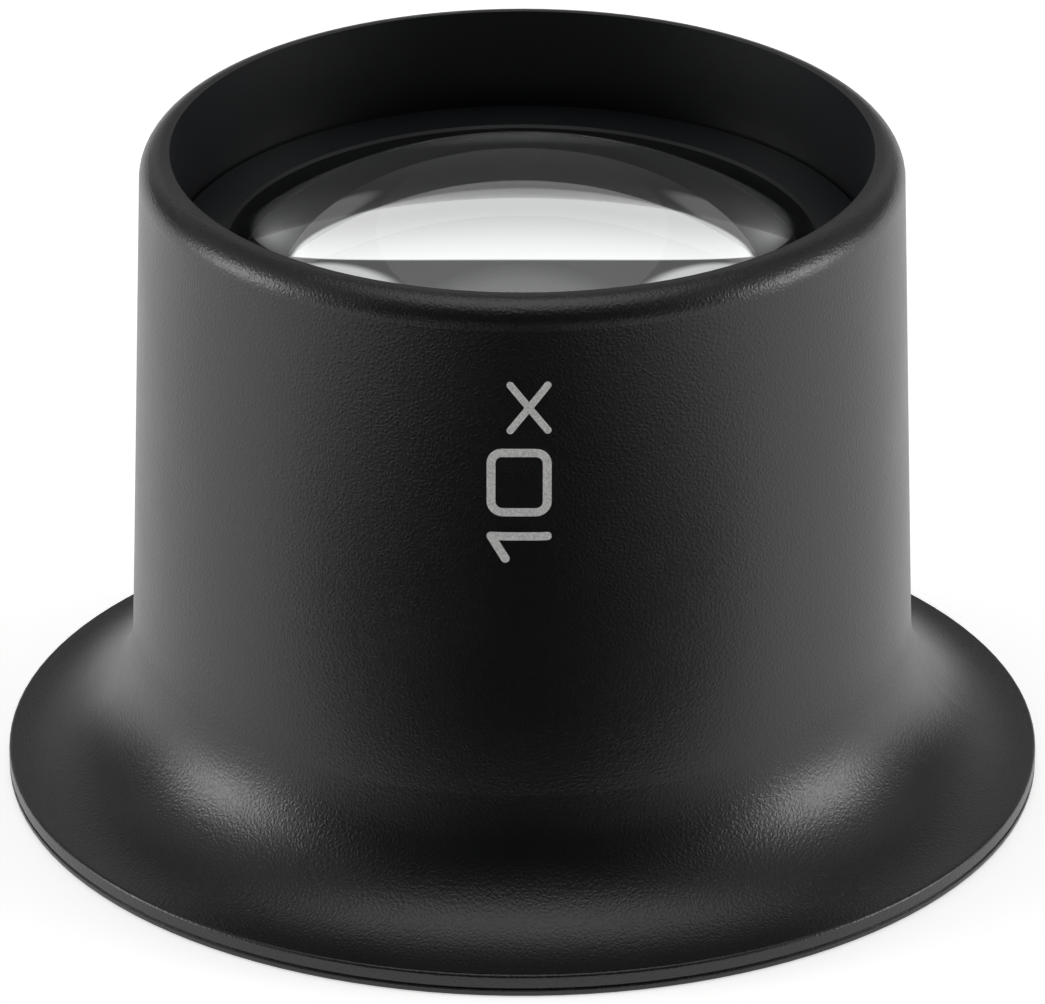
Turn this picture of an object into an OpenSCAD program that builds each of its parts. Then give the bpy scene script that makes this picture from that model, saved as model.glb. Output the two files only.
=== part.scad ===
// Watchmaker's eye loupe: a moulded eyecup housing with a dome lens in its top recess.
// The loupe stands on the flange of its eyecup, the end that is held to the eye.
// The origin is the centre of the flange's flat face and +Z runs up the optical axis.
// Millimetres.

/* [Eyecup] */
// Outer diameter of the flange
flange_d = 38; // [34:0.5:43]
// Height of the flange at its edge
flange_h = 0.85; // [0.75:0.05:1.6]
// Radius of the outer sweep from the tube out to the flange
sweep_r = 4.9; // [3.5:0.1:6]
// Radius of the inner sweep from the eyecup's wall out to its mouth
hollow_r = 6.05; // [5:0.05:7]
// Width of the flat face that the loupe stands on
rest_w = 2.4; // [1.6:0.1:3.4]
// Wall thickness of the eyecup
wall = 1.3; // [1:0.1:1.7]
// Radius that softens the flange's edges
edge_r = 0.12; // [0.05:0.01:0.16]
// Height of the mould's parting line round the flange's lip
seam_h = 0.29; // [0.26:0.01:0.4]
// Depth of the fine groove that the parting line leaves
seam_deep = 0.07; // [0.03:0.01:0.09]
// Thickness of the shelf that closes the eyecup round the light path
shelf_h = 1; // [0.8:0.1:1.5]
// Radius in the corner under the shelf
corner_r = 0.6; // [0.2:0.1:1]

/* [Tube] */
// Overall height, from the flange's face to the rim
height = 24.5; // [23.5:0.5:30]
// Wall thickness at the rim, round the recess
rim_wall = 1.08; // [0.8:0.02:2]
// Draft angle of the tube's outside
draft = 1.62; // [0.5:0.02:2.4]
// Radius of the rim's outer edge
rim_r = 1.05; // [0.3:0.05:1.2]

/* [Recess and retaining ring] */
// Depth from the rim to the face of the retaining ring
recess_depth = 3.76; // [3:0.02:4.6]
// Width of the ledge that the ring rests on
ledge_w = 1.27; // [0.8:0.01:1.6]
// Height of that ledge above the lens's edge
ledge_rise = 0.21; // [0.1:0.01:0.4]
// How far the ring reaches in over the lens
ring_lap = 0.68; // [0.4:0.02:1.2]
// Height of the ring at its inner edge
ring_lip = 0.7; // [0.5:0.05:1.2]
// Bevel along the ring's upper edges
ring_bevel = 0.1; // [0.05:0.01:0.2]
// Radial clearance of the ring in the recess
ring_fit = 0.03; // [0.01:0.01:0.1]

/* [Lens] */
// Diameter of the lens
lens_d = 22.8; // [21:0.1:25]
// Radius of curvature of the front face
front_r = 18.2; // [16:0.1:24]
// Thickness of the lens at its edge, down to the flat back
lens_edge = 3; // [1:0.1:4]
// Bevel on the lens's edges
lens_bevel = 0.12; // [0.05:0.01:0.25]
// Radial clearance of the lens and of the spacer in their bore
lens_fit = 0.05; // [0.02:0.01:0.1]

/* [Spacer] */
// Wall thickness of the spacer, which the shelf's opening follows
spacer_w = 1.1; // [0.8:0.05:2]
// Height of the spacer, which sets the lens's height above the shelf
spacer_h = 4; // [2.5:0.25:6]
// Clearance where the lens meets the ring and the spacer
seat_gap = 0.02; // [0.01:0.01:0.05]

/* [Hidden] */
facets = 180;
past = 1;

// Radii worked out from the lens outwards: bore, recess, rim
lens_rad = lens_d / 2;
bore_rad = lens_rad + lens_fit;
stop_rad = lens_rad - spacer_w;
ring_rad = lens_rad - ring_lap;
recess_rad = bore_rad + ledge_w;
rim_rad = recess_rad + rim_wall;
flange_rad = flange_d / 2;
mouth_rad = flange_rad - rest_w;

// Heights worked out downwards from the rim: ring, lens, spacer, shelf
ring_top = height - recess_depth;
ring_edge_z = ring_top - ring_lip;
front_z = ring_edge_z - seat_gap - sphere_rise(front_r, ring_rad);
front_edge_z = front_z + sphere_rise(front_r, lens_rad);
ledge_z = front_edge_z + ledge_rise;
back_z = front_edge_z - lens_edge;
shelf_z = back_z - seat_gap - spacer_h;
cup_top = shelf_z - shelf_h;

// The outer sweep's arc runs tangent into the drafted tube and out level at the flange
sweep_z = flange_h + sweep_r;
sweep_x = tube_rad(sweep_z) + sweep_r / cos(draft);

// The inner sweep's arc runs tangent into the eyecup's wall and down through the mouth's edge,
// which sets the height of its centre
wall_side = wall / cos(draft);
hollow_run = tube_rad(0) - wall_side + hollow_r / cos(draft) - mouth_rad;
hollow_lean = hollow_run * tan(draft);
hollow_reach = pow(hollow_r, 2) - pow(hollow_run, 2);
hollow_z = (hollow_lean + sqrt(pow(hollow_lean, 2) + hollow_reach / pow(cos(draft), 2)))
    * pow(cos(draft), 2);
hollow_x = tube_rad(hollow_z) - wall_side + hollow_r / cos(draft);

// The rim's arc runs tangent into the drafted tube and the flat top
rim_arc = min(rim_r, rim_wall - ring_fit);
rim_arc_z = height - rim_arc;
rim_arc_x = tube_rad(rim_arc_z) - rim_arc / cos(draft);

// Height of a sphere's surface above its centre, at a given radius from the axis
function sphere_rise(sphere_rad, rad) = sqrt(pow(sphere_rad, 2) - pow(rad, 2));

// Outer radius of the drafted tube at a given height
function tube_rad(z) = rim_rad + (height - z) * tan(draft);

// Height of the flange's top surface at its edge
function flange_top() = flange_rad < sweep_x
    ? sweep_z - sphere_rise(sweep_r, sweep_x - flange_rad)
    : flange_h;

// Half section of a drafted tube, inset from the outside, that an arc sweeps out to a foot
module flared_half(foot, centre, arc_rad, inset, top_z) {
    join_z = centre[1] - arc_rad * sin(draft);
    difference() {
        polygon([
            [0, foot[1]],
            foot,
            [foot[0], join_z],
            [tube_rad(join_z) - inset, join_z],
            [tube_rad(top_z) - inset, top_z],
            [0, top_z]
        ]);
        translate(centre) circle(r = arc_rad, $fn = facets);
    }
}

// Flat end of a tube at top_z, whose edge is an arc that runs tangent into the side below
module rounded_end(centre, arc_rad, top_z) {
    join_z = centre[1] + arc_rad * sin(draft);
    translate([0, join_z - past]) square([centre[0], top_z - join_z + past]);
    translate(centre) circle(r = arc_rad, $fn = facets);
}

// What a round takes off the corner at [x, z], whose body lies towards [-1, to_z]
module edge_cut(x, z, to_z) {
    translate([x, z]) scale([-1, to_z]) difference() {
        translate([-past, -past]) square(edge_r + past);
        translate([edge_r, edge_r]) circle(r = edge_r, $fn = facets);
    }
}

// Outside of the housing
module outside_half() {
    join_z = rim_arc_z + rim_arc * sin(draft);
    difference() {
        union() {
            flared_half([flange_rad, 0], [sweep_x, sweep_z], sweep_r, 0, join_z);
            rounded_end([rim_arc_x, rim_arc_z], rim_arc, height);
        }
        translate([sweep_x, flange_h]) square([flange_rad, sweep_z]);
        edge_cut(flange_rad, 0, 1);
        edge_cut(flange_rad, flange_top(), -1);
        translate([flange_rad, seam_h]) rotate(45) square(seam_deep * sqrt(2), center = true);
    }
}

// Hollow of the eyecup, open at the flange and closed by the shelf
module eyecup_half() {
    arc_z = cup_top - corner_r;
    arc_x = tube_rad(arc_z) - wall_side - corner_r / cos(draft);
    join_z = arc_z + corner_r * sin(draft);
    flared_half([hollow_x, -past], [hollow_x, hollow_z], hollow_r, wall_side, join_z);
    rounded_end([arc_x, arc_z], corner_r, cup_top);
}

// Stepped bore above the shelf: spacer and lens, then ring and recess
module bore_half() {
    translate([0, cup_top - past]) square([stop_rad, shelf_h + 2 * past]);
    translate([0, shelf_z]) square([bore_rad, ledge_z - shelf_z + past]);
    translate([0, ledge_z]) square([recess_rad, height - ledge_z + past]);
}

module eyecup_housing() {
    color("#222325") rotate_extrude($fn = facets) difference() {
        outside_half();
        eyecup_half();
        bore_half();
    }
}

// Its inner lower edge bears on the lens, its outer rim rests on the ledge
module retaining_ring() {
    outer = recess_rad - ring_fit;
    color("#17181a") rotate_extrude($fn = facets) polygon([
        [ring_rad, ring_edge_z],
        [bore_rad, ledge_z],
        [outer, ledge_z],
        [outer, ring_top - ring_bevel],
        [outer - ring_bevel, ring_top],
        [ring_rad + ring_bevel, ring_top],
        [ring_rad, ring_top - ring_bevel]
    ]);
}

// The dome is part of a sphere, the back is flat and the edge is a cylinder with bevelled corners
module lens() {
    color([0.86, 0.9, 0.9, 0.4]) rotate_extrude($fn = facets) intersection() {
        translate([0, front_z]) circle(r = front_r, $fn = facets);
        polygon([
            [0, back_z],
            [lens_rad - lens_bevel, back_z],
            [lens_rad, back_z + lens_bevel],
            [lens_rad, front_edge_z - lens_bevel],
            [lens_rad - lens_bevel, front_edge_z + lens_bevel],
            [lens_rad - lens_bevel, front_z + front_r + past],
            [0, front_z + front_r + past]
        ]);
    }
}

// Stands on the shelf and carries the flat back of the lens
module spacer_ring() {
    color("#1a1b1d") rotate_extrude($fn = facets)
        translate([stop_rad, shelf_z]) square([spacer_w, spacer_h]);
}

eyecup_housing();
retaining_ring();
lens();
spacer_ring();
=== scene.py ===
"""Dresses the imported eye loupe: grained black plastic, a clear dome lens and a printed power mark."""

import math

import bpy
from bpy.props import FloatProperty, IntProperty, PointerProperty, StringProperty
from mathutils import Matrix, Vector
from mathutils.bvhtree import BVHTree


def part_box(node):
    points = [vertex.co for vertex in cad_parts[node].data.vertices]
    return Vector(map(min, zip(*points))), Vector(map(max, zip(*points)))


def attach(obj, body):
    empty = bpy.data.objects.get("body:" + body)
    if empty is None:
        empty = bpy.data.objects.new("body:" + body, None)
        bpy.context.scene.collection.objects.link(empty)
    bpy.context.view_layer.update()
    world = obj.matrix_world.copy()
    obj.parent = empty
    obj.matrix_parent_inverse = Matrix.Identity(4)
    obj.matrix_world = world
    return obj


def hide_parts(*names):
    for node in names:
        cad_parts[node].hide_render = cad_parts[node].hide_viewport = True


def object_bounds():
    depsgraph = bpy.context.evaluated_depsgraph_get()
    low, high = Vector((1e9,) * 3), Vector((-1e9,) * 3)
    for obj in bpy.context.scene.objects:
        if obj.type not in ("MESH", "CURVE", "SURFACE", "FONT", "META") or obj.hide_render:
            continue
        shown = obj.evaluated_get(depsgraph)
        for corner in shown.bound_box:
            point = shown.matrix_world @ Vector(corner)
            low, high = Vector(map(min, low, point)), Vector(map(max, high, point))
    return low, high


bl_info = {
    "name": "Eye loupe dresser",
    "version": (1, 0, 0),
    "blender": (4, 5, 0),
    "location": "3D View > Sidebar > Loupe",
    "description": "Finishes the pieces of a watchmaker's eye loupe and lights it in a plain studio",
    "category": "Object",
}

MM = 0.001
PHOTO_SIZE = (1045, 1004)

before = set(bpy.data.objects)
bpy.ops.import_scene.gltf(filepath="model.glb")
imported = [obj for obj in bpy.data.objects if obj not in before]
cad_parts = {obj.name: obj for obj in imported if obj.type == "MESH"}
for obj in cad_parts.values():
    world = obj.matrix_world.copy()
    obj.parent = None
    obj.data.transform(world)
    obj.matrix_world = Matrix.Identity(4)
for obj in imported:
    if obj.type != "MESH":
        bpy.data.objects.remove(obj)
CAD_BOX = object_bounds()
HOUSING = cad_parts["eyecup_housing"]
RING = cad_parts["retaining_ring"]
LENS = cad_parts["lens"]
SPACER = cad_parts["spacer_ring"]


def linear_colour(hex_colour):
    """A #rrggbb colour as linear RGBA."""
    values = [int(hex_colour[i:i + 2], 16) / 255 for i in (1, 3, 5)]
    return [v / 12.92 if v <= 0.04045 else ((v + 0.055) / 1.055) ** 2.4 for v in values] + [1.0]


def add_node(tree, kind, inputs=None, **settings):
    """Add one node: settings are its own values, inputs are constants or links by socket name or number."""
    node = tree.nodes.new(kind)
    for name, value in settings.items():
        setattr(node, name, value)
    for key, value in (inputs or {}).items():
        if isinstance(value, bpy.types.NodeSocket):
            tree.links.new(value, node.inputs[key])
        else:
            node.inputs[key].default_value = value
    return node


def new_material(name):
    """An empty node material and its tree."""
    material = bpy.data.materials.new(name)
    material.use_nodes = True
    material.node_tree.nodes.clear()
    return material, material.node_tree


def finish_material(tree, shader):
    """Send a shader to the material's surface."""
    add_node(tree, "ShaderNodeOutputMaterial", {"Surface": shader.outputs[0]})


def dress(piece, material):
    """Give the whole piece one material."""
    piece.data.materials.clear()
    piece.data.materials.append(material)


def outline_radii(node):
    """Distances from the axis and heights of a node's vertices."""
    return [(math.hypot(v.co.x, v.co.y), v.co.z) for v in node.data.vertices]


class LoupeHousingSettings(bpy.types.PropertyGroup):
    colour: StringProperty(
        name="Colour", description="sRGB colour of the housing's plastic", default="#0f1012")
    inner_colour: StringProperty(
        name="Inner colour", description="sRGB colour of the recess and the ring", default="#15171a")
    spacer_colour: StringProperty(
        name="Spacer colour", description="sRGB colour of the spacer", default="#303134")
    roughness: FloatProperty(
        name="Roughness", description="Roughness of the grained outside", default=0.36, min=0, max=1)
    inner_roughness: FloatProperty(
        name="Inner roughness", description="Roughness of the smooth inside", default=0.42, min=0, max=1)
    grain_size: FloatProperty(
        name="Grain size", description="Width of one cell of the leather grain",
        default=0.18 * MM, min=0, unit="LENGTH")
    grain_depth: FloatProperty(
        name="Grain depth", description="Depth of the leather grain's creases",
        default=0.009 * MM, min=0, unit="LENGTH")


class LoupeLensSettings(bpy.types.PropertyGroup):
    front_radius: FloatProperty(
        name="Front radius", description="Radius of curvature of the dome",
        default=18.2 * MM, min=0, unit="LENGTH")
    bevel: FloatProperty(
        name="Edge bevel", description="Bevel on the lens's edges", default=0.12 * MM, min=0, unit="LENGTH")
    index: FloatProperty(
        name="Refractive index", description="Index of the lens's crown glass", default=1.52, min=1, max=3)
    columns: IntProperty(name="Columns", description="Faces round the lens", default=224, min=12)
    rows: IntProperty(name="Rows", description="Faces from pole to pole", default=200, min=20)


class LoupeMarkSettings(bpy.types.PropertyGroup):
    ink: StringProperty(name="Ink", description="sRGB colour of the pad print", default="#fafaf8")
    digit_height: FloatProperty(
        name="Digit height", description="Height of the printed digits",
        default=2.28 * MM, min=0, unit="LENGTH")
    stroke: FloatProperty(
        name="Stroke", description="Width of the digits' strokes", default=0.31 * MM, min=0, unit="LENGTH")
    film: FloatProperty(
        name="Film", description="Thickness of the printed ink", default=0.015 * MM, min=0, unit="LENGTH")
    foot_height: FloatProperty(
        name="Foot height", description="Height of the mark's lower end above the flange's face",
        default=14.55 * MM, min=0, unit="LENGTH")
    baseline: FloatProperty(
        name="Baseline", description="Arc from the front of the tube to the foot of the digits",
        default=1.03 * MM, unit="LENGTH")


class LoupeStageSettings(bpy.types.PropertyGroup):
    floor_colour: StringProperty(
        name="Floor", description="sRGB colour of the pale floor", default="#f1f1f0")
    background: FloatProperty(
        name="Background", description="How far the floor is lifted towards white where it is seen",
        default=0.54, min=0)
    mirrored: FloatProperty(
        name="Mirrored", description="How far the floor is lifted where it shows in plastic and glass",
        default=0.66, min=0)
    softbox_level: FloatProperty(
        name="Softbox level", description="Brightness of each side softbox", default=7.3, min=0)
    softbox_size: FloatProperty(
        name="Softbox size", description="Side of each square softbox", default=0.36, min=0, unit="LENGTH")
    arch_level: FloatProperty(
        name="Arch level", description="Brightness of the arched panel behind, at its foot",
        default=1.05, min=0)
    arch_foot: FloatProperty(
        name="Arch foot", description="Angle of the arched panel's foot above the floor",
        default=math.radians(28), subtype="ANGLE")
    arch_top: FloatProperty(
        name="Arch top", description="Angle of the arched panel's top above the floor",
        default=math.radians(44), subtype="ANGLE")
    arch_side: FloatProperty(
        name="Arch side", description="How far the arched panel reaches to each side",
        default=math.radians(36.9), subtype="ANGLE")
    wall_level: FloatProperty(
        name="Wall level", description="Brightness of the wall round the panel", default=0.1, min=0)
    ceiling_level: FloatProperty(
        name="Ceiling level", description="Brightness of the ceiling", default=1.75, min=0)
    side_level: FloatProperty(
        name="Side level", description="Brightness of the walls to the left and right", default=0.55, min=0)
    window_level: FloatProperty(
        name="Window level", description="Brightness of the two low panels beside the arched one",
        default=0.66, min=0)
    front_level: FloatProperty(
        name="Front level", description="Brightness of the room on the camera's side", default=0.004, min=0)
    camera_elevation: FloatProperty(
        name="Camera elevation", description="Height of the camera's line of sight",
        default=math.radians(25.49), subtype="ANGLE")


def grained_plastic(settings, recess_radius):
    """Injection-moulded ABS, its outside spark-eroded to a fine leather grain and its inside smooth.

    The grain breaks the gloss into a soft sheen that only brightens at grazing angles.
    """
    material, tree = new_material("moulded black ABS, leather grained")
    gloss_drift = 0.04
    wander = 1.1 * settings.grain_size
    crease_reach = 0.35
    fine_share = 0.45
    place = add_node(tree, "ShaderNodeTexCoord").outputs["Object"]
    axes = add_node(tree, "ShaderNodeSeparateXYZ", {0: place}).outputs
    flat = add_node(tree, "ShaderNodeCombineXYZ", {0: axes[0], 1: axes[1]}).outputs[0]
    radius = add_node(tree, "ShaderNodeVectorMath", {0: flat}, operation="LENGTH").outputs["Value"]
    # The grain starts just outside the recess and stops where the surface turns down
    facing = add_node(tree, "ShaderNodeNewGeometry").outputs["Normal"]
    upward = add_node(tree, "ShaderNodeSeparateXYZ", {0: facing}).outputs[2]
    outer = add_node(tree, "ShaderNodeMapRange",
                     {0: radius, 1: recess_radius + 0.05 * MM, 2: recess_radius + 0.25 * MM}).outputs[0]
    not_under = add_node(tree, "ShaderNodeMapRange", {0: upward, 1: -0.12, 2: -0.02}).outputs[0]
    grained = add_node(tree, "ShaderNodeMath", {0: outer, 1: not_under}, operation="MULTIPLY").outputs[0]

    # Pebbles parted by creases that wander, with a finer roughness over them
    drift = add_node(tree, "ShaderNodeTexNoise",
                     {"Vector": place, "Scale": 0.6 / settings.grain_size, "Detail": 2.0}).outputs["Color"]
    bent = add_node(tree, "ShaderNodeVectorMath", {0: drift, 1: (0.5, 0.5, 0.5)},
                    operation="SUBTRACT").outputs[0]
    pushed = add_node(tree, "ShaderNodeVectorMath", {0: bent, "Scale": wander},
                      operation="SCALE").outputs[0]
    creased = add_node(tree, "ShaderNodeVectorMath", {0: place, 1: pushed}, operation="ADD").outputs[0]
    cells = add_node(tree, "ShaderNodeTexVoronoi", {"Vector": creased, "Scale": 1 / settings.grain_size},
                     feature="DISTANCE_TO_EDGE").outputs["Distance"]
    pebbles = add_node(tree, "ShaderNodeMapRange", {0: cells, 1: 0.0, 2: crease_reach},
                       interpolation_type="SMOOTHSTEP").outputs[0]
    fine = add_node(tree, "ShaderNodeTexNoise",
                    {"Vector": place, "Scale": 2.4 / settings.grain_size, "Detail": 3.0}).outputs["Fac"]
    height = add_node(tree, "ShaderNodeMix", {"Factor": fine_share, 2: pebbles, 3: fine}).outputs[0]
    masked = add_node(tree, "ShaderNodeMath", {0: height, 1: grained}, operation="MULTIPLY").outputs[0]
    bump = add_node(tree, "ShaderNodeBump",
                    {"Strength": 1.0, "Distance": settings.grain_depth, "Height": masked}).outputs[0]

    # The gloss drifts a little over 3 mm, as off a worn tool
    cloud = add_node(tree, "ShaderNodeTexNoise",
                     {"Vector": place, "Scale": 0.3 / MM, "Detail": 4.0}).outputs["Fac"]
    gloss = add_node(tree, "ShaderNodeMapRange",
                     {0: cloud, 3: settings.roughness - gloss_drift,
                      4: settings.roughness + gloss_drift}).outputs[0]
    roughness = add_node(tree, "ShaderNodeMix",
                         {"Factor": grained, 2: settings.inner_roughness, 3: gloss}).outputs[0]
    colour = add_node(tree, "ShaderNodeMix",
                      {"Factor": grained, 6: linear_colour(settings.inner_colour),
                       7: linear_colour(settings.colour)}, data_type="RGBA").outputs[2]
    shader = add_node(tree, "ShaderNodeBsdfPrincipled",
                      {"Base Color": colour, "Roughness": roughness, "IOR": 1.54, "Normal": bump})
    finish_material(tree, shader)
    return material


def smooth_plastic(name, colour, roughness):
    """Moulded plastic off a polished tool: even, with a faint flow mottle in its gloss."""
    material, tree = new_material(name)
    mottle = 0.05
    mottle_depth = 0.001 * MM
    place = add_node(tree, "ShaderNodeTexCoord").outputs["Object"]
    flow = add_node(tree, "ShaderNodeTexNoise",
                    {"Vector": place, "Scale": 0.5 / MM, "Detail": 5.0}).outputs["Fac"]
    gloss = add_node(tree, "ShaderNodeMapRange",
                     {0: flow, 3: roughness - mottle, 4: roughness + mottle}).outputs[0]
    bump = add_node(tree, "ShaderNodeBump",
                    {"Strength": 1.0, "Distance": mottle_depth, "Height": flow}).outputs[0]
    shader = add_node(tree, "ShaderNodeBsdfPrincipled",
                      {"Base Color": linear_colour(colour), "Roughness": gloss, "IOR": 1.45, "Normal": bump})
    finish_material(tree, shader)
    return material


def polished_glass(index):
    """Ground and polished crown glass: clear, with a mirror-smooth face."""
    material, tree = new_material("polished crown glass")
    shader = add_node(tree, "ShaderNodeBsdfPrincipled",
                      {"Base Color": linear_colour("#fbfdfc"), "Roughness": 0.0, "IOR": index,
                       "Transmission Weight": 1.0})
    finish_material(tree, shader)
    return material


def pad_print_ink(colour):
    """White pad-print ink: a thin matt film whose cover is a little uneven over the grain."""
    material, tree = new_material("white pad print ink")
    place = add_node(tree, "ShaderNodeTexCoord").outputs["Object"]
    speckle = add_node(tree, "ShaderNodeTexNoise",
                       {"Vector": place, "Scale": 12 / MM, "Detail": 3.0, "Roughness": 0.7}).outputs["Fac"]
    cover = add_node(tree, "ShaderNodeMapRange", {0: speckle, 1: 0.3, 2: 0.6}).outputs[0]
    thin_share = 0.62
    thin = [thin_share * part for part in linear_colour(colour)[:3]] + [1.0]
    shade = add_node(tree, "ShaderNodeMix", {"Factor": cover, 6: thin, 7: linear_colour(colour)},
                     data_type="RGBA").outputs[2]
    bump = add_node(tree, "ShaderNodeBump",
                    {"Strength": 1.0, "Distance": 0.004 * MM, "Height": speckle}).outputs[0]
    shader = add_node(tree, "ShaderNodeBsdfPrincipled",
                      {"Base Color": shade, "Roughness": 0.6, "IOR": 1.5, "Normal": bump})
    finish_material(tree, shader)
    return material


class LOUPE_OT_dress_housing(bpy.types.Operator):
    """Give the eyecup housing its grained black plastic"""
    bl_idname = "loupe.dress_housing"
    bl_label = "Dress housing"

    def execute(self, context):
        recess_radius = max(r for r, z in outline_radii(RING))
        dress(HOUSING, grained_plastic(context.scene.loupe_housing, recess_radius))
        return {"FINISHED"}


class LOUPE_OT_dress_rings(bpy.types.Operator):
    """Give the retaining ring and the spacer their smooth plastics"""
    bl_idname = "loupe.dress_rings"
    bl_label = "Dress rings"

    def execute(self, context):
        settings = context.scene.loupe_housing
        rough = settings.inner_roughness
        dress(RING, smooth_plastic("moulded black ABS, smooth", settings.inner_colour, rough))
        dress(SPACER, smooth_plastic("moulded dark grey ABS, smooth", settings.spacer_colour, rough))
        return {"FINISHED"}


def lens_tree(lengths, counts, material):
    """Geometry nodes that wrap a grid round the axis.

    Its rows run from the dome's pole over the dome, the edge and the flat back to the other pole.
    """
    tree = bpy.data.node_groups.new("plano-convex lens", "GeometryNodeTree")
    tree.is_modifier = True
    for name in lengths:
        tree.interface.new_socket(name, in_out="INPUT", socket_type="NodeSocketFloat")
    for name in counts:
        tree.interface.new_socket(name, in_out="INPUT", socket_type="NodeSocketInt")
    tree.interface.new_socket("Lens", in_out="OUTPUT", socket_type="NodeSocketGeometry")
    sizes = add_node(tree, "NodeGroupInput").outputs

    def sum_of(*terms):
        total = terms[0]
        for term in terms[1:]:
            total = add_node(tree, "ShaderNodeMath", {0: total, 1: term}, operation="ADD").outputs[0]
        return total

    def product(a, b):
        return add_node(tree, "ShaderNodeMath", {0: a, 1: b}, operation="MULTIPLY").outputs[0]

    def minus(a, b):
        return add_node(tree, "ShaderNodeMath", {0: a, 1: b}, operation="SUBTRACT").outputs[0]

    def ramp(value, low, high, top):
        """From 0 at low to top at high, and level beyond both."""
        return add_node(tree, "ShaderNodeMapRange", {0: value, 1: low, 2: high, 4: top}).outputs[0]

    def sag(distance):
        """How far the dome falls away from its apex at a distance from the axis."""
        radius = sizes["Front radius"]
        squares = minus(product(radius, radius), product(distance, distance))
        root = add_node(tree, "ShaderNodeMath", {0: squares}, operation="SQRT").outputs[0]
        return minus(radius, root)

    grid = add_node(tree, "GeometryNodeMeshGrid",
                    {"Vertices X": sum_of(sizes["Columns"], 1.0), "Vertices Y": sum_of(sizes["Rows"], 1.0)})
    spot = add_node(tree, "ShaderNodeSeparateXYZ",
                    {0: add_node(tree, "GeometryNodeInputPosition").outputs[0]}).outputs
    angle = product(spot[0], math.tau)
    # How far along the way from either pole to the middle of the edge, over the face, the bevel and the edge
    off_middle = add_node(tree, "ShaderNodeMath", {0: product(spot[1], 2.0)}, operation="ABSOLUTE").outputs[0]
    along = minus(1.0, off_middle)
    face_end, bevel_end = sizes["Face share"], sizes["Bevel share"]
    rim = sizes["Edge radius"]
    face_radius = minus(rim, sizes["Bevel"])
    reach = sum_of(ramp(along, 0.0, face_end, face_radius), ramp(along, face_end, bevel_end, sizes["Bevel"]))
    on_face = add_node(tree, "ShaderNodeMath", {0: reach, 1: face_radius}, operation="MINIMUM").outputs[0]
    edge_sag = sum_of(sag(rim), sizes["Bevel"])
    bevel_fall = ramp(along, face_end, bevel_end, minus(edge_sag, sag(face_radius)))
    edge_top = minus(sizes["Front apex"], edge_sag)
    edge_foot = sum_of(sizes["Back"], sizes["Bevel"])
    edge_fall = ramp(along, bevel_end, 1.0, product(minus(edge_top, edge_foot), 0.5))
    front = minus(sizes["Front apex"], sum_of(sag(on_face), bevel_fall, edge_fall))
    back = sum_of(sizes["Back"], ramp(along, face_end, bevel_end, sizes["Bevel"]), edge_fall)
    is_front = add_node(tree, "ShaderNodeMath", {0: spot[1], 1: 0.0}, operation="GREATER_THAN").outputs[0]
    height = add_node(tree, "ShaderNodeMix", {"Factor": is_front, 2: back, 3: front}).outputs[0]
    cosine = add_node(tree, "ShaderNodeMath", {0: angle}, operation="COSINE").outputs[0]
    sine = add_node(tree, "ShaderNodeMath", {0: angle}, operation="SINE").outputs[0]
    place = add_node(tree, "ShaderNodeCombineXYZ",
                     {0: product(reach, cosine), 1: product(reach, sine), 2: height}).outputs[0]
    wrapped = add_node(tree, "GeometryNodeSetPosition", {"Geometry": grid.outputs["Mesh"], "Position": place})
    closed = add_node(tree, "GeometryNodeMergeByDistance",
                      {"Geometry": wrapped.outputs[0], "Distance": 0.0001 * MM})
    smooth = add_node(tree, "GeometryNodeSetShadeSmooth", {"Geometry": closed.outputs[0]})
    real = add_node(tree, "GeometryNodeRealizeInstances", {"Geometry": smooth.outputs[0]})
    dressed = add_node(tree, "GeometryNodeSetMaterial", {"Geometry": real.outputs[0], "Material": material})
    add_node(tree, "NodeGroupOutput", {0: dressed.outputs[0]})
    return tree


def baked_copy(name, carrier, modifier):
    """The evaluated mesh of a Geometry Nodes carrier as a plain object, with the carrier removed."""
    evaluated = carrier.evaluated_get(bpy.context.evaluated_depsgraph_get())
    mesh = bpy.data.meshes.new_from_object(evaluated)
    carrier.modifiers.remove(modifier)
    bpy.data.objects.remove(carrier)
    mesh.name = name
    piece = bpy.data.objects.new(name, mesh)
    bpy.context.scene.collection.objects.link(piece)
    return piece


class LOUPE_OT_make_lens(bpy.types.Operator):
    """Make the polished plano-convex lens in place of its CAD solid"""
    bl_idname = "loupe.make_lens"
    bl_label = "Make lens"

    def execute(self, context):
        settings = context.scene.loupe_lens
        low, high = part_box("lens")
        half_rows = settings.rows / 2
        bevel_rows = 1
        edge_rows = 2
        lengths = {
            "Edge radius": max(r for r, z in outline_radii(LENS)), "Bevel": settings.bevel,
            "Front radius": settings.front_radius, "Front apex": high.z, "Back": low.z,
            "Face share": 1 - (edge_rows + bevel_rows) / half_rows, "Bevel share": 1 - edge_rows / half_rows,
        }
        counts = {"Columns": settings.columns, "Rows": settings.rows}
        glass = polished_glass(settings.index)
        carrier = bpy.data.objects.new("lens carrier", bpy.data.meshes.new("lens carrier"))
        context.scene.collection.objects.link(carrier)
        modifier = carrier.modifiers.new("lens", "NODES")
        modifier.node_group = lens_tree(lengths, counts, glass)
        sizes = {**lengths, **counts}
        for item in modifier.node_group.interface.items_tree:
            if item.name in sizes:
                modifier[item.identifier] = sizes[item.name]
        lens = baked_copy("polished_lens", carrier, modifier)
        lens.data.set_sharp_from_angle(angle=math.radians(15))
        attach(lens, "root")
        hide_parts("lens")
        return {"FINISHED"}


def arc_points(centre, radius, start, end, steps):
    """Points of an arc from start to end degrees."""
    turns = [math.radians(start + (end - start) * i / steps) for i in range(steps + 1)]
    return [(centre[0] + radius * math.cos(t), centre[1] + radius * math.sin(t)) for t in turns]


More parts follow.
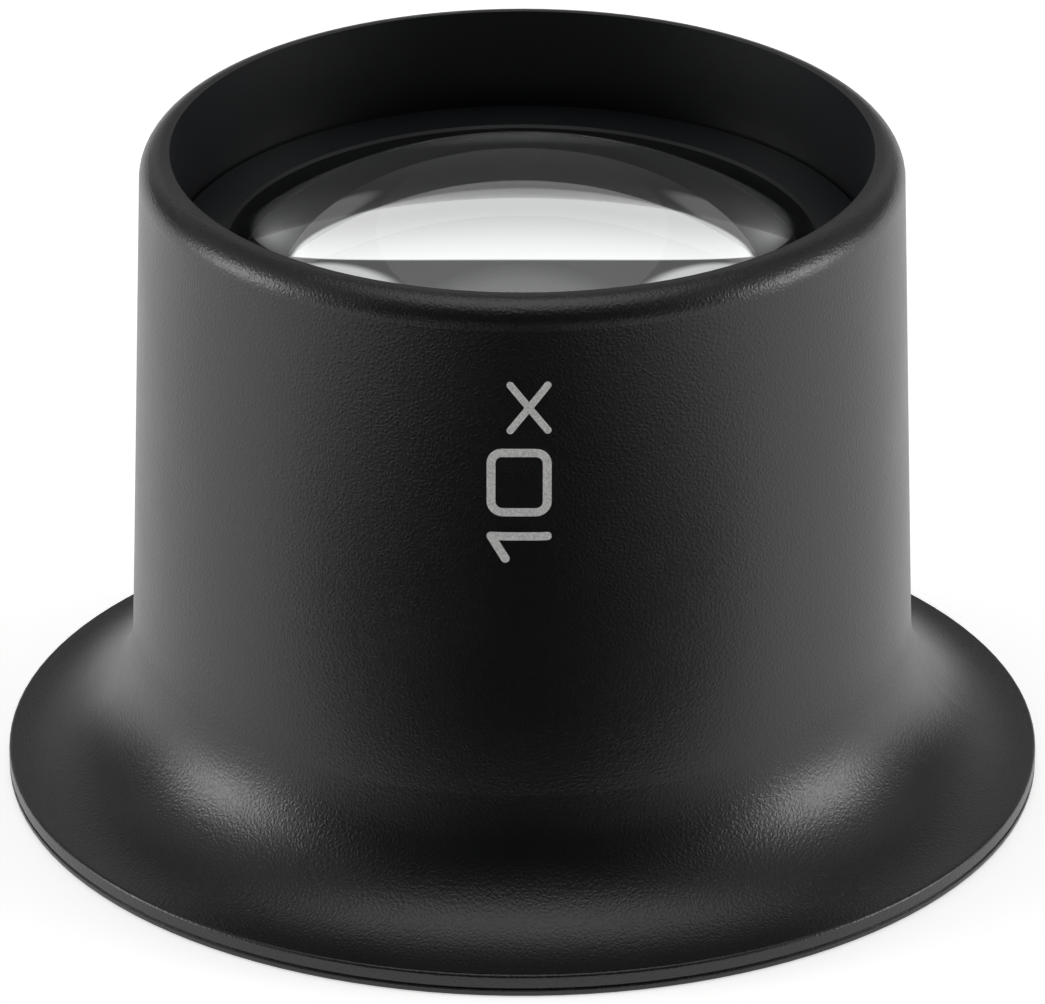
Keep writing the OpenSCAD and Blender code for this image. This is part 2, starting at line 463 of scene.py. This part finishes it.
def rounded_box(left, right, bottom, top, radius, steps=6):
    """The closed middle line of a digit nought."""
    return (arc_points((right - radius, bottom + radius), radius, -90, 0, steps)
            + arc_points((right - radius, top - radius), radius, 0, 90, steps)
            + arc_points((left + radius, top - radius), radius, 90, 180, steps)
            + arc_points((left + radius, bottom + radius), radius, 180, 270, steps))


def split_long(points, longest, closed):
    """The same line with points no further apart than longest."""
    ends = points[1:] + points[:1] if closed else points[1:]
    line = []
    for a, b in zip(points, ends):
        count = max(1, math.ceil(math.dist(a, b) / longest))
        line += [(a[0] + (b[0] - a[0]) * i / count, a[1] + (b[1] - a[1]) * i / count) for i in range(count)]
    return line if closed else line + [points[-1]]


def stroke_rungs(points, width, closed):
    """Pairs of points across a stroke, with half-round ends where it is open."""
    rungs = []
    count = len(points)
    for i, spot in enumerate(points):
        before = points[i - 1] if closed or i else spot
        after = points[(i + 1) % count] if closed or i + 1 < count else spot
        run = Vector((after[0] - before[0], after[1] - before[1])).normalized()
        rungs.append((Vector(spot), run, 0.0, 1.0))
    if not closed:
        cap_steps = 5
        steps = [math.radians(90 * k / cap_steps) for k in range(cap_steps)]
        first, last = rungs[0], rungs[-1]
        rungs = ([(first[0], first[1], -math.cos(t), math.sin(t)) for t in steps] + rungs
                 + [(last[0], last[1], math.cos(t), math.sin(t)) for t in reversed(steps)])
    half = width / 2
    least_spread = 0.02
    pairs = []
    for spot, run, ahead, spread in rungs:
        side = Vector((-run.y, run.x))
        middle = spot + run * half * ahead
        reach = half * max(spread, least_spread)
        pairs.append((middle + side * reach, middle - side * reach))
    return pairs


class LOUPE_OT_print_mark(bpy.types.Operator):
    """Print the lens's power up the front of the tube"""
    bl_idname = "loupe.print_mark"
    bl_label = "Print mark"

    def execute(self, context):
        settings = context.scene.loupe_mark
        tall = settings.digit_height
        line = settings.stroke
        inset = line / 2
        longest = 0.12 * MM
        one_at = 1.15 * MM
        flag_reach = 0.85 * MM
        flag_fall = 0.5 * MM
        nought_at = 1.92 * MM
        nought_wide = 2.58 * MM
        nought_corner = 0.4 * MM
        times_at = 5.07 * MM
        times_wide = 1.98 * MM
        times_tall = 1.58 * MM
        thin = 0.84 * line
        # Each stroke: its points along and up the text, its width, whether it closes, its layer of ink
        strokes = [
            ([(one_at, inset), (one_at, tall - inset)], line, False, 0),
            ([(one_at, tall - inset), (one_at - flag_reach, tall - inset - flag_fall)], line, False, 1),
            (rounded_box(nought_at + inset, nought_at + nought_wide - inset, inset, tall - inset,
                         nought_corner), line, True, 0),
            ([(times_at + thin / 2, thin / 2),
              (times_at + times_wide - thin / 2, times_tall - thin / 2)], thin, False, 0),
            ([(times_at + thin / 2, times_tall - thin / 2),
              (times_at + times_wide - thin / 2, thin / 2)], thin, False, 1),
        ]
        surface = BVHTree.FromPolygons([v.co for v in HOUSING.data.vertices],
                                       [p.vertices for p in HOUSING.data.polygons])
        half_way = settings.foot_height + (times_at + times_wide) / 2
        front_radius = -surface.ray_cast(Vector((0, -1, half_way)), Vector((0, 1, 0)))[0].y

        def on_tube(along, up, lift):
            """The point of the tube's front under a point of the text, lifted off it."""
            turn = (settings.baseline - up) / front_radius
            out = Vector((math.sin(turn), -math.cos(turn), 0))
            start = out * 2 * front_radius + Vector((0, 0, settings.foot_height + along))
            return surface.ray_cast(start, -out)[0] + out * lift

        verts = []
        faces = []
        for points, width, closed, layer in strokes:
            pairs = stroke_rungs(split_long(points, longest, closed), width, closed)
            top = settings.film * (1 + 0.5 * layer)
            base = len(verts)
            for left, right in pairs:
                verts += [on_tube(left.x, left.y, -settings.film), on_tube(left.x, left.y, top),
                          on_tube(right.x, right.y, top), on_tube(right.x, right.y, -settings.film)]
            rungs = len(pairs)
            for i in range(rungs if closed else rungs - 1):
                a = base + 4 * i
                b = base + 4 * ((i + 1) % rungs)
                faces += [(a + k, a + (k + 1) % 4, b + (k + 1) % 4, b + k) for k in range(4)]
            if not closed:
                last = base + 4 * (rungs - 1)
                faces += [(base + 3, base + 2, base + 1, base), (last, last + 1, last + 2, last + 3)]
        mesh = bpy.data.meshes.new("power_mark")
        mesh.from_pydata(verts, [], faces)
        mark = bpy.data.objects.new("power_mark", mesh)
        context.scene.collection.objects.link(mark)
        dress(mark, pad_print_ink(settings.ink))
        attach(mark, "root")
        return {"FINISHED"}


def softbox(name, place, aim, size, level):
    """A square area light at a place, turned to its aim."""
    data = bpy.data.lights.new(name, "AREA")
    data.shape = "SQUARE"
    data.size = size
    data.energy = level * math.pi * size ** 2
    light = bpy.data.objects.new(name, data)
    light.location = place
    light.rotation_euler = (Vector(aim) - Vector(place)).to_track_quat("-Z", "Y").to_euler()
    bpy.context.scene.collection.objects.link(light)


def flat_sheet(name, x_range, y_range, z):
    """A level rectangle that belongs to the stage."""
    mesh = bpy.data.meshes.new(name)
    mesh.from_pydata([(x, y, z) for x, y in ((x_range[0], y_range[0]), (x_range[1], y_range[0]),
                                             (x_range[1], y_range[1]), (x_range[0], y_range[1]))],
                     [], [(0, 1, 2, 3)])
    sheet = bpy.data.objects.new(name, mesh)
    bpy.context.scene.collection.objects.link(sheet)
    return sheet


class LOUPE_OT_set_stage(bpy.types.Operator):
    """Set the pale floor, the soft studio light and the camera"""
    bl_idname = "loupe.set_stage"
    bl_label = "Set stage"

    def execute(self, context):
        settings = context.scene.loupe_stage
        context.scene.view_settings.view_transform = "Standard"
        self.set_camera(context.scene, settings)
        self.lay_floor(settings)
        self.lay_flag()
        self.light_world(context.scene, settings)
        middle = (0, 0, CAD_BOX[1].z / 2)
        beside = 0.78
        forward = 0.03
        raised = 0.14
        for side, name in ((-1, "left softbox"), (1, "right softbox")):
            softbox(name, (side * beside, -forward, raised), middle, settings.softbox_size,
                    settings.softbox_level)
        return {"FINISHED"}

    def set_camera(self, scene, settings):
        """The photo's viewpoint: its distance, aim and focal length are fitted to the rim and the flange."""
        aim = Vector((0.00917 * MM, 0, 10.342 * MM))
        distance = 360.417 * MM
        focal_pixels = 9833.15
        data = bpy.data.cameras.new("camera")
        data.sensor_width = 36
        data.lens = focal_pixels * data.sensor_width / max(PHOTO_SIZE)
        data.clip_start = 0.02
        data.clip_end = 20
        camera = bpy.data.objects.new("camera", data)
        up = settings.camera_elevation
        camera.location = aim + distance * Vector((0, -math.cos(up), math.sin(up)))
        camera.rotation_euler = (aim - camera.location).to_track_quat("-Z", "Y").to_euler()
        scene.collection.objects.link(camera)
        scene.camera = camera

    def lay_floor(self, settings):
        """A pale floor, lifted towards white where it is seen, reflected or looked at through glass."""
        floor = flat_sheet("floor", (-3, 3), (-3, 3), 0)
        material, tree = new_material("pale floor")
        pale = add_node(tree, "ShaderNodeBsdfDiffuse", {"Color": linear_colour(settings.floor_colour)})
        rays = add_node(tree, "ShaderNodeLightPath").outputs
        bounced = add_node(tree, "ShaderNodeMath",
                           {0: rays["Is Glossy Ray"], 1: rays["Is Transmission Ray"]},
                           operation="MAXIMUM").outputs[0]
        lift = add_node(tree, "ShaderNodeMapRange", {0: bounced, 4: settings.mirrored}).outputs[0]
        lift = add_node(tree, "ShaderNodeMix", {"Factor": rays["Is Camera Ray"], 2: lift,
                                                3: settings.background}).outputs[0]
        glow = add_node(tree, "ShaderNodeEmission", {"Color": (1, 1, 1, 1), "Strength": lift})
        finish_material(tree, add_node(tree, "ShaderNodeAddShader", {0: pale.outputs[0], 1: glow.outputs[0]}))
        dress(floor, material)

    def lay_flag(self):
        """A black card in front, hidden from the camera, from diffuse light and from shadows: it only paints
        a dark reflection on the tube, which keeps the floor's shine off it.
        """
        flag = flat_sheet("flag", (-45 * MM, 45 * MM), (-0.5, -22 * MM), 0.2 * MM)
        material, tree = new_material("black card seen only in reflections")
        finish_material(tree, add_node(tree, "ShaderNodeBsdfDiffuse", {"Color": linear_colour("#0a0a0a")}))
        dress(flag, material)
        # Seen only in glossy rays, the card's near-black colour is a painted dark reflection on the tube's
        # front
        flag.visible_camera = False
        flag.visible_diffuse = False
        flag.visible_shadow = False

    def light_world(self, scene, settings):
        """Soft surroundings: bright panels on a dim wall behind, a bright ceiling, and dark in front."""
        world = bpy.data.worlds.new("studio")
        world.use_nodes = True
        tree = world.node_tree
        tree.nodes.clear()
        look = add_node(tree, "ShaderNodeTexCoord").outputs["Generated"]
        x, y, z = add_node(tree, "ShaderNodeSeparateXYZ", {0: look}).outputs

        def math_node(operation, *values):
            return add_node(tree, "ShaderNodeMath", dict(enumerate(values)), operation=operation).outputs[0]

        def step(value, start, end, low=0.0, high=1.0):
            return add_node(tree, "ShaderNodeMapRange", {0: value, 1: start, 2: end, 3: low, 4: high},
                            interpolation_type="SMOOTHSTEP").outputs[0]

        def mix(factor, off, on):
            return add_node(tree, "ShaderNodeMix", {"Factor": factor, 2: off, 3: on}).outputs[0]

        def squares(a, b):
            return math_node("ADD", math_node("POWER", a, 2.0), math_node("POWER", b, 2.0))

        # Where the look meets an upright plane a unit behind the object
        ahead = math_node("MAXIMUM", y, 0.01)
        across = math_node("DIVIDE", x, ahead)
        above = math_node("DIVIDE", z, ahead)
        foot = math.tan(settings.arch_foot)
        rise = math.tan(settings.arch_top) - foot
        over_foot = math_node("SUBTRACT", above, foot)
        # The arched panel is the upper half of an ellipse, brightest at its foot
        arch_reach = squares(math_node("DIVIDE", across, math.tan(settings.arch_side)),
                             math_node("DIVIDE", over_foot, rise))
        arch = math_node("MULTIPLY", step(over_foot, -0.005, 0.005), step(arch_reach, 0.94, 1.06, 1.0, 0.0))
        at_foot = 1.1 * settings.arch_level
        at_top = 0.6 * settings.arch_level
        glow = step(over_foot, -0.2 * rise, 0.7 * rise, at_foot, at_top)
        # The side walls are bright above the height of the softboxes, and the ceiling over them all
        beside = math_node("MULTIPLY", step(math_node("ABSOLUTE", x), 0.48, 0.75), step(z, 0.34, 0.5))
        side = mix(beside, settings.wall_level, settings.side_level)
        wall = mix(step(z, 0.87, 0.95), side, settings.ceiling_level)
        # The two windows are soft ellipses, low on either side of the arch
        window_across = 0.52
        window_wide = 0.27
        window_above = 0.34
        window_tall = 0.17
        off_centre = math_node("SUBTRACT", math_node("ABSOLUTE", across), window_across)
        off_middle = math_node("SUBTRACT", above, window_above)
        window_reach = squares(math_node("DIVIDE", off_centre, window_wide),
                               math_node("DIVIDE", off_middle, window_tall))
        low = mix(step(window_reach, 0.7, 1.1, 1.0, 0.0), wall, settings.window_level)
        behind = step(y, -0.7, -0.2)
        level = mix(behind, settings.front_level, mix(arch, low, glow))
        shader = add_node(tree, "ShaderNodeBackground", {"Color": (1, 1, 1, 1), "Strength": level})
        add_node(tree, "ShaderNodeOutputWorld", {"Surface": shader.outputs[0]})
        scene.world = world


class LOUPE_PT_panel(bpy.types.Panel):
    """Lists the steps that dress the loupe"""
    bl_label = "Loupe"
    bl_idname = "LOUPE_PT_panel"
    bl_space_type = "VIEW_3D"
    bl_region_type = "UI"
    bl_category = "Loupe"

    def draw(self, context):
        for group, steps in STEPS:
            box = self.layout.box()
            settings = getattr(context.scene, group)
            for name in settings.__annotations__:
                box.prop(settings, name)
            for step in steps:
                box.operator(step.bl_idname)


STEPS = (
    ("loupe_stage", (LOUPE_OT_set_stage,)),
    ("loupe_housing", (LOUPE_OT_dress_housing, LOUPE_OT_dress_rings)),
    ("loupe_lens", (LOUPE_OT_make_lens,)),
    ("loupe_mark", (LOUPE_OT_print_mark,)),
)
GROUPS = {
    "loupe_housing": LoupeHousingSettings,
    "loupe_lens": LoupeLensSettings,
    "loupe_mark": LoupeMarkSettings,
    "loupe_stage": LoupeStageSettings,
}
CLASSES = (*GROUPS.values(), *(step for group, steps in STEPS for step in steps), LOUPE_PT_panel)


def register():
    for cls in CLASSES:
        bpy.utils.register_class(cls)
    for name, group in GROUPS.items():
        setattr(bpy.types.Scene, name, PointerProperty(type=group))


def unregister():
    for name in GROUPS:
        delattr(bpy.types.Scene, name)
    for cls in reversed(CLASSES):
        bpy.utils.unregister_class(cls)


def main():
    register()
    for group, steps in STEPS:
        for step in steps:
            family, name = step.bl_idname.split(".")
            getattr(getattr(bpy.ops, family), name)()


if __name__ == "__main__":
    main()
